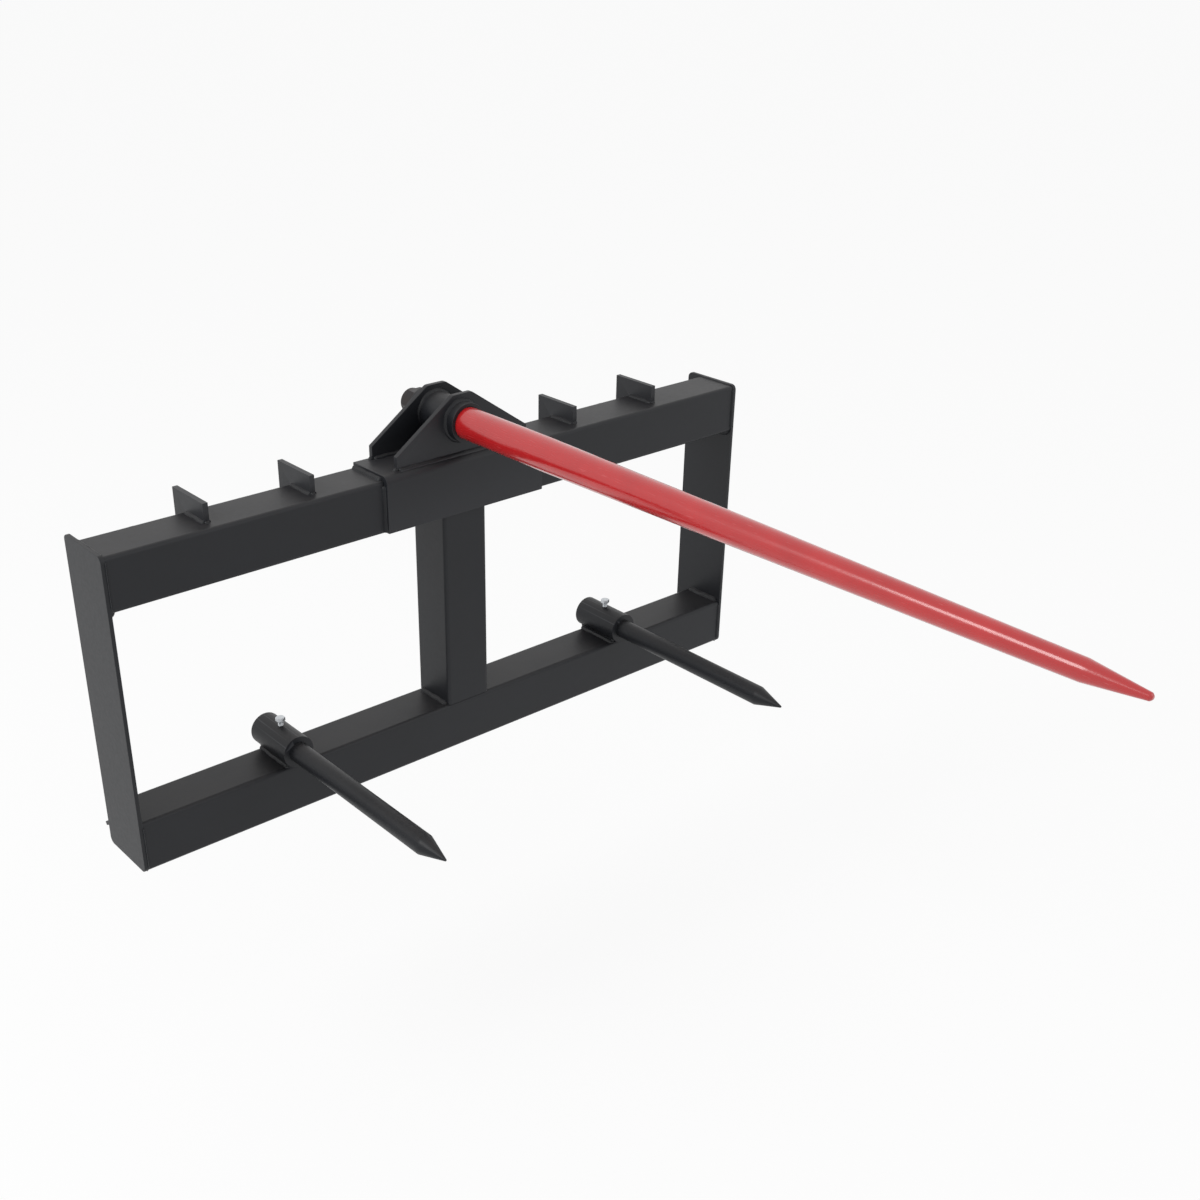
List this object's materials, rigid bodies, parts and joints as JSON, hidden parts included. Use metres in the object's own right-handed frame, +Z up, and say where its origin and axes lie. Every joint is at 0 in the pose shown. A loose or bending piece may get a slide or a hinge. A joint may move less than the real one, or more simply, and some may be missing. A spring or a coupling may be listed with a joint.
{
  "type": "bale spear",
  "caption": "Loader attachment: square-tube frame with a long tapered spear above and short stabiliser spears below, for lifting and carrying round bales.",
  "frame": {"origin": "centre of the coupler face: on the rear of the centre post, midway between the end plates and halfway between the rails", "axes": "+X to the right seen from in front, +Y to the rear, towards the loader, +Z up; the spears point along -Y"},
  "size_m": [1.164, 1.23, 0.5835],
  "materials": {
    "black_paint": "satin black powder coat on steel",
    "red_paint": "gloss red paint on forged steel",
    "black_oxide": "blackened steel fasteners, satin",
    "zinc_plate": "bright zinc plate"
  },
  "bodies": {
    "root": {"top_rail": "black_paint", "bottom_rail": "black_paint", "centre_post": "black_paint", "left_end_plate": "black_paint", "right_end_plate": "black_paint", "socket_saddle": "black_paint", "front_socket_plate": "black_paint", "rear_socket_plate": "black_paint", "socket_sleeve": "black_paint", "main_spear": "red_paint", "spear_washer": "black_oxide", "spear_nut": "black_oxide", "left_outer_gusset": "black_paint", "left_inner_gusset": "black_paint", "right_inner_gusset": "black_paint", "right_outer_gusset": "black_paint", "coupler_lip": "black_paint", "coupler_flange": "black_paint", "left_stabiliser_foot": "black_paint", "right_stabiliser_foot": "black_paint", "left_stabiliser_sleeve": "black_paint", "right_stabiliser_sleeve": "black_paint", "left_stabiliser_spear": "black_paint", "right_stabiliser_spear": "black_paint", "stabiliser_set_bolts": "zinc_plate"}
  },
  "joints": []
}
